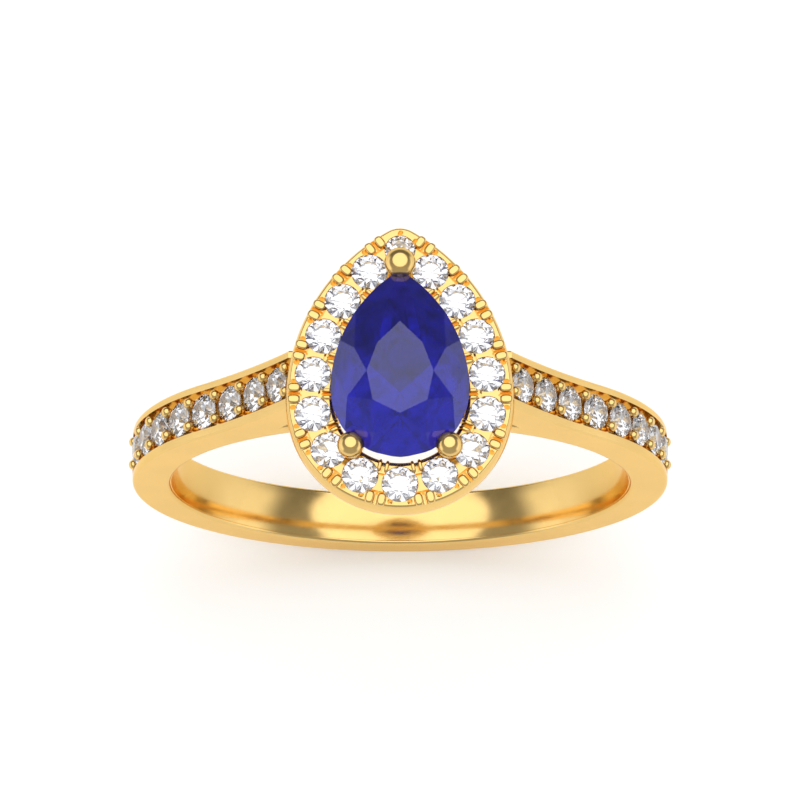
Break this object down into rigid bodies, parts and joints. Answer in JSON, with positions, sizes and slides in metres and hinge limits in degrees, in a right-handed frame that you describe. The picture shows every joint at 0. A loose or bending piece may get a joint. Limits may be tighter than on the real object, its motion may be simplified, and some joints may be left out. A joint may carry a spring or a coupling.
{
  "type": "engagement ring",
  "caption": "Yellow gold finger ring with a pear-cut blue stone in three claws, a pear-shaped halo of small round stones and stone-set shoulders.",
  "frame": {"origin": "centre of the finger hole, midway between the band's two side faces", "axes": "+Y along the finger axis, the way the pear stone points; +Z from the finger hole up through the head; +X to the right shoulder"},
  "size_m": [0.0208, 0.0107, 0.0247],
  "materials": {
    "gold": "polished 18k yellow gold",
    "diamond": "polished facets",
    "sapphire": "polished facets"
  },
  "bodies": {
    "root": {"shank": "gold", "shoulder_stone_left_1": "diamond", "shoulder_stone_left_2": "diamond", "shoulder_stone_left_3": "diamond", "shoulder_stone_left_4": "diamond", "shoulder_stone_left_5": "diamond", "shoulder_stone_left_6": "diamond", "shoulder_stone_left_7": "diamond", "shoulder_stone_left_8": "diamond", "shoulder_stone_right_1": "diamond", "shoulder_stone_right_2": "diamond", "shoulder_stone_right_3": "diamond", "shoulder_stone_right_4": "diamond", "shoulder_stone_right_5": "diamond", "shoulder_stone_right_6": "diamond", "shoulder_stone_right_7": "diamond", "shoulder_stone_right_8": "diamond", "centre_stone": "sapphire", "basket_base": "gold", "claw_point": "gold", "claw_left": "gold", "claw_right": "gold", "halo_frame": "gold", "halo_stone_01": "diamond", "halo_stone_02": "diamond", "halo_stone_03": "diamond", "halo_stone_04": "diamond", "halo_stone_05": "diamond", "halo_stone_06": "diamond", "halo_stone_07": "diamond", "halo_stone_08": "diamond", "halo_stone_09": "diamond", "halo_stone_10": "diamond", "halo_stone_11": "diamond", "halo_stone_12": "diamond", "halo_stone_13": "diamond", "halo_stone_14": "diamond", "halo_stone_15": "diamond", "halo_stone_16": "diamond"}
  },
  "joints": []
}
